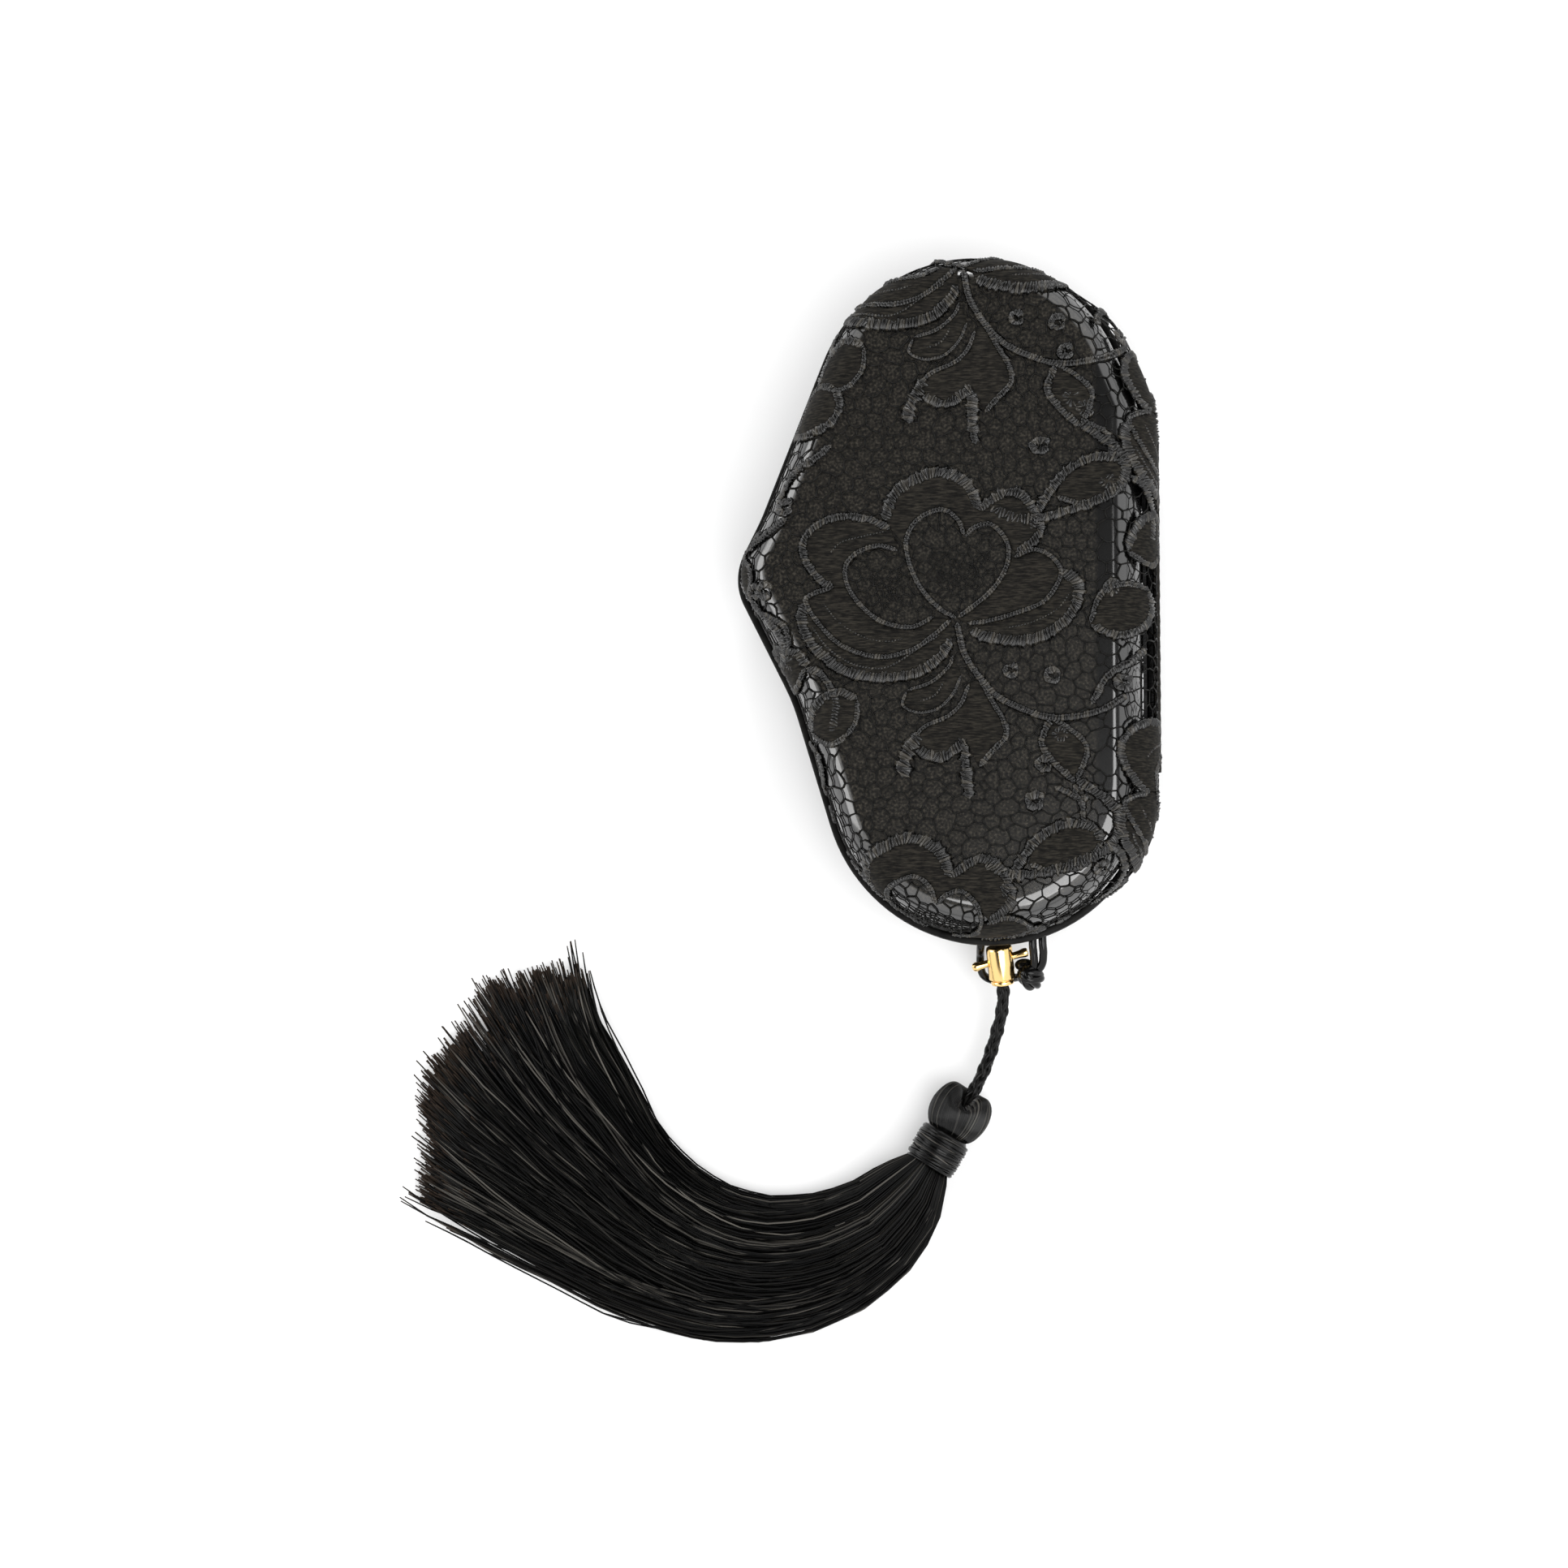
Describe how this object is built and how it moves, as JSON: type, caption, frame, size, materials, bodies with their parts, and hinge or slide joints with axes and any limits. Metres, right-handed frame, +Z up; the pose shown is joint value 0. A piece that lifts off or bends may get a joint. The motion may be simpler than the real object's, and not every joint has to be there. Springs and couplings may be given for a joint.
{
  "type": "clutch bag",
  "caption": "Hard-shell evening clutch with a peaked side, hinged along its spine, with a floral lace cover, a toggle and loop at one end and a long tassel.",
  "frame": {"origin": "on the surface the bag lies on, under the middle of the bag with its clasp and without the tassel", "axes": "+Z up out of the lace-covered front, +Y from the clasp to the plain end, +X towards the hinged spine"},
  "size_m": [0.223, 0.3201, 0.0494],
  "materials": {
    "shell": "glossy black shell under the lace",
    "rim": "black bound edge at the seam",
    "lace": "black corded floral lace with satin stitch",
    "gold": "polished pale gold plate",
    "hinge_metal": "satin black",
    "loop_cord": "glossy black satin cord",
    "silk": "black silk thread"
  },
  "bodies": {
    "base": {"back_shell": "shell", "back_rim": "rim", "back_hinge": "hinge_metal", "hinge_pin": "hinge_metal", "cord_loop": "loop_cord", "toggle_barrel": "gold", "toggle_bar": "gold", "tassel_cord": "silk", "tassel_ball": "silk", "tassel_collar": "silk", "tassel_skirt": "silk"},
    "lid": {"front_shell": "shell", "front_rim": "rim", "front_hinge": "hinge_metal", "lace_front": "lace"}
  },
  "joints": [
    {"name": "lid_hinge", "type": "hinge", "parent": "base", "child": "lid", "pos_m": [0.0602, 0.004, 0.024], "axis": [0, 1, 0], "range_deg": [0, 70]}
  ]
}
